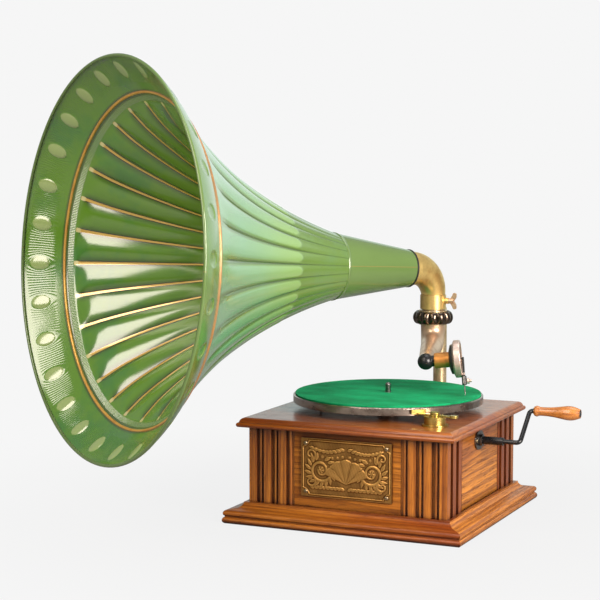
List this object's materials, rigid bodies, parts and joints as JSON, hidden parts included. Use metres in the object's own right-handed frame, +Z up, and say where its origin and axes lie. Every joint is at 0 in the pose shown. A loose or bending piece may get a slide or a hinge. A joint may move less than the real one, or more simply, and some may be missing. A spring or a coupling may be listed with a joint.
{
  "type": "horn gramophone",
  "caption": "Table gramophone: reeded wooden case with a spring motor, felt turntable, crank, tone arm with sound box, and a fluted green horn on a swivelling brass elbow.",
  "frame": {"origin": "centre of the case's bottom face on the table", "axes": "+Z up, -Y to the front with the plaque, +X to the crank side"},
  "size_m": [0.742, 0.6088, 0.6029],
  "materials": {
    "oak": "varnished orange-brown oak",
    "pine": "plain",
    "plaque_brass": "antique relief",
    "screw_steel": "aged",
    "nickel": "polished nickel plate",
    "felt": "wool felt",
    "bright_brass": "polished",
    "leather": "plain",
    "black_iron": "black enamel",
    "steel": "machined",
    "gear_brass": "cut",
    "grip_wood": "turned and varnished",
    "horn_green": "gloss enamel with gilt lines",
    "horn_gold": "gilt",
    "rubber": "plain",
    "brass": "polished",
    "mica": "clear sheet"
  },
  "bodies": {
    "case": {"bottom_board": "pine", "plinth": "oak", "corner_pilasters": "oak", "front_panel": "oak", "back_panel": "oak", "left_panel": "oak", "right_panel": "oak", "deck_board": "oak", "deck_peg": "black_iron", "plaque": "plaque_brass", "plaque_screws": "screw_steel", "crank_escutcheon": "nickel", "escutcheon_screws": "screw_steel", "back_bracket": "nickel", "bracket_screws": "screw_steel", "brake_base": "bright_brass", "motor_top_plate": "steel", "motor_low_plate": "steel", "motor_pillars": "steel", "motor_screws": "screw_steel", "governor_bearings": "gear_brass", "speed_arm": "steel", "winding_bearing": "steel"},
    "turntable": {"platter": "nickel", "felt_mat": "felt", "spindle": "nickel", "governor_drive_wheel": "gear_brass"},
    "intermediate": {"inter_arbor": "steel", "inter_wheel": "gear_brass"},
    "barrel": {"spring_barrel": "steel", "barrel_cover": "steel", "mainspring": "steel"},
    "governor": {"governor_shaft": "steel", "governor_disc": "gear_brass", "governor_springs": "steel", "governor_weights": "gear_brass"},
    "crank": {"winding_shaft": "steel", "crank_rod": "black_iron"},
    "winding_arbor": {"barrel_arbor": "steel", "winding_wheel": "gear_brass"},
    "grip": {"crank_grip": "grip_wood"},
    "brake": {"brake_lever": "bright_brass", "brake_pad": "leather"},
    "horn": {"horn_bell": "horn_green", "horn_rim": "horn_gold", "horn_neck": "horn_green", "horn_gasket": "rubber", "horn_elbow": "brass"},
    "wing": {"wing_screw": "brass"},
    "arm": {"tone_arm": "nickel", "arm_ring_nut": "nickel", "arm_ball_elbow": "nickel"},
    "soundbox": {"soundbox_case": "nickel", "soundbox_back": "nickel", "soundbox_flange": "rubber", "soundbox_neck": "brass", "diaphragm": "mica", "stylus_bar": "nickel", "needle": "nickel"},
    "needle_clamp": {"needle_screw": "nickel"}
  },
  "joints": [
    {"name": "turntable_spin", "type": "hinge", "parent": "case", "child": "turntable", "pos_m": [0, 0.0097, 0.1575], "axis": [0, 0, 1], "continuous": true},
    {"name": "intermediate_spin", "type": "hinge", "parent": "case", "child": "intermediate", "pos_m": [0.02266, 0.02747, 0.09866], "axis": [0, 0, 1], "continuous": true},
    {"name": "barrel_spin", "type": "hinge", "parent": "case", "child": "barrel", "pos_m": [0.07, 0.01952, 0.09016], "axis": [0, 0, 1], "continuous": true},
    {"name": "governor_spin", "type": "hinge", "parent": "case", "child": "governor", "pos_m": [-0.02341, 0.0097, 0.068], "axis": [0, 1, 0], "continuous": true},
    {"name": "crank_turn", "type": "hinge", "parent": "case", "child": "crank", "pos_m": [0.1335, -0.007, 0.107], "axis": [1, 0, 0], "continuous": true},
    {"name": "winding_arbor_spin", "type": "hinge", "parent": "case", "child": "winding_arbor", "pos_m": [0.07, 0.01952, 0.107], "axis": [0, 0, 1], "continuous": true},
    {"name": "grip_spin", "type": "hinge", "parent": "crank", "child": "grip", "pos_m": [0.19, 0.03451, 0.14308], "axis": [1, 0, 0], "continuous": true},
    {"name": "brake_swing", "type": "hinge", "parent": "case", "child": "brake", "pos_m": [0.10562, -0.09667, 0.1375], "axis": [0, 0, 1], "range_deg": [0, 25]},
    {"name": "horn_swivel", "type": "hinge", "parent": "case", "child": "horn", "pos_m": [0.01, 0.155, 0.257], "axis": [0, 0, 1], "range_deg": [-60, 60]},
    {"name": "wing_screw_turn", "type": "hinge", "parent": "horn", "child": "wing", "pos_m": [0.0282, 0.155, 0.2707], "axis": [1, 0, 0], "range_deg": [0, 360]},
    {"name": "tone_arm_swing", "type": "hinge", "parent": "case", "child": "arm", "pos_m": [0.01, 0.155, 0.237], "axis": [0, 0, 1], "range_deg": [-20, 20]},
    {"name": "soundbox_turn", "type": "hinge", "parent": "arm", "child": "soundbox", "pos_m": [0.09106, 0.03104, 0.2065], "axis": [-0.9541, -0.2808, -0.1045], "range_deg": [0, 110]},
    {"name": "needle_screw_turn", "type": "hinge", "parent": "soundbox", "child": "needle_clamp", "pos_m": [0.10412, 0.01975, 0.17882], "axis": [0.9541, 0.2808, 0.1045], "range_deg": [0, 360]}
  ],
  "couplings": [
    {"joint": "intermediate_spin", "follows": "turntable_spin", "ratio": -0.2},
    {"joint": "barrel_spin", "follows": "turntable_spin", "ratio": 0.028571},
    {"joint": "governor_spin", "follows": "turntable_spin", "ratio": 12},
    {"joint": "winding_arbor_spin", "follows": "crank_turn", "ratio": -0.5}
  ]
}
